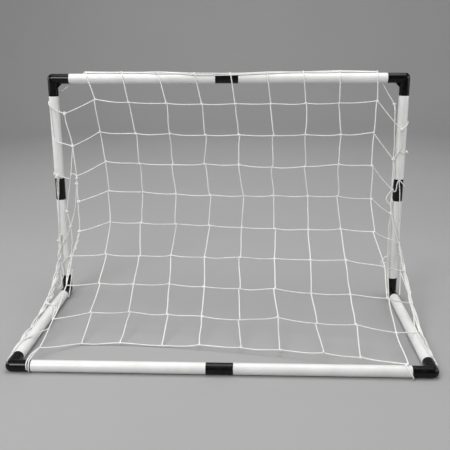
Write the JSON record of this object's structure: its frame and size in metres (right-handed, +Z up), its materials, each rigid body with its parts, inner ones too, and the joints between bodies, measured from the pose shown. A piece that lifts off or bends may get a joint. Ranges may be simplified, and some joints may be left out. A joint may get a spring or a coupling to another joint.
{
  "type": "play goal",
  "caption": "Small knock-down play goal: push-fit plastic tube frame with elbow and coupler connectors, hung with a knotted net.",
  "frame": {"origin": "on the ground, at the middle of the frame's footprint", "axes": "+Z up, X along the width, goal mouth at +Y, rear ground bar at -Y"},
  "size_m": [0.9348, 0.4852, 0.6062],
  "materials": {
    "white_tube": "satin",
    "black_connector": "gloss",
    "net_twine": "matte"
  },
  "bodies": {
    "base": {"rear_bar_coupler": "black_connector", "rear_bar_tube_left": "white_tube", "rear_bar_tube_right": "white_tube", "rear_elbow_left": "black_connector", "rear_elbow_right": "black_connector", "ground_side_tube_left": "white_tube", "ground_side_tube_right": "white_tube", "base_elbow_left": "black_connector", "base_elbow_right": "black_connector", "net_edge_bundle_left": "net_twine", "net_edge_bundle_right": "net_twine", "net_corner_tie_left": "net_twine", "net_corner_tie_right": "net_twine", "net_lower": "net_twine", "net_foot": "net_twine", "net_foot_border": "net_twine"},
    "lower_posts": {"lower_post_tube_left": "white_tube", "lower_post_tube_right": "white_tube", "post_coupler_left": "black_connector", "post_coupler_right": "black_connector", "post_lacing_lower_left": "net_twine", "post_lacing_lower_right": "net_twine", "net_middle": "net_twine"},
    "upper_frame": {"crossbar_coupler": "black_connector", "upper_post_tube_left": "white_tube", "upper_post_tube_right": "white_tube", "top_elbow_left": "black_connector", "top_elbow_right": "black_connector", "crossbar_tube_left": "white_tube", "crossbar_tube_right": "white_tube", "post_lacing_upper_left": "net_twine", "post_lacing_upper_right": "net_twine", "net_upper": "net_twine", "net_top_border": "net_twine", "net_top_loops": "net_twine"}
  },
  "joints": [
    {"name": "lower_posts_lift", "type": "slide", "parent": "base", "child": "lower_posts", "axis": [0, 0, 1], "range_m": [0, 0.036]},
    {"name": "upper_frame_lift", "type": "slide", "parent": "lower_posts", "child": "upper_frame", "axis": [0, 0, 1], "range_m": [0, 0.036]}
  ]
}
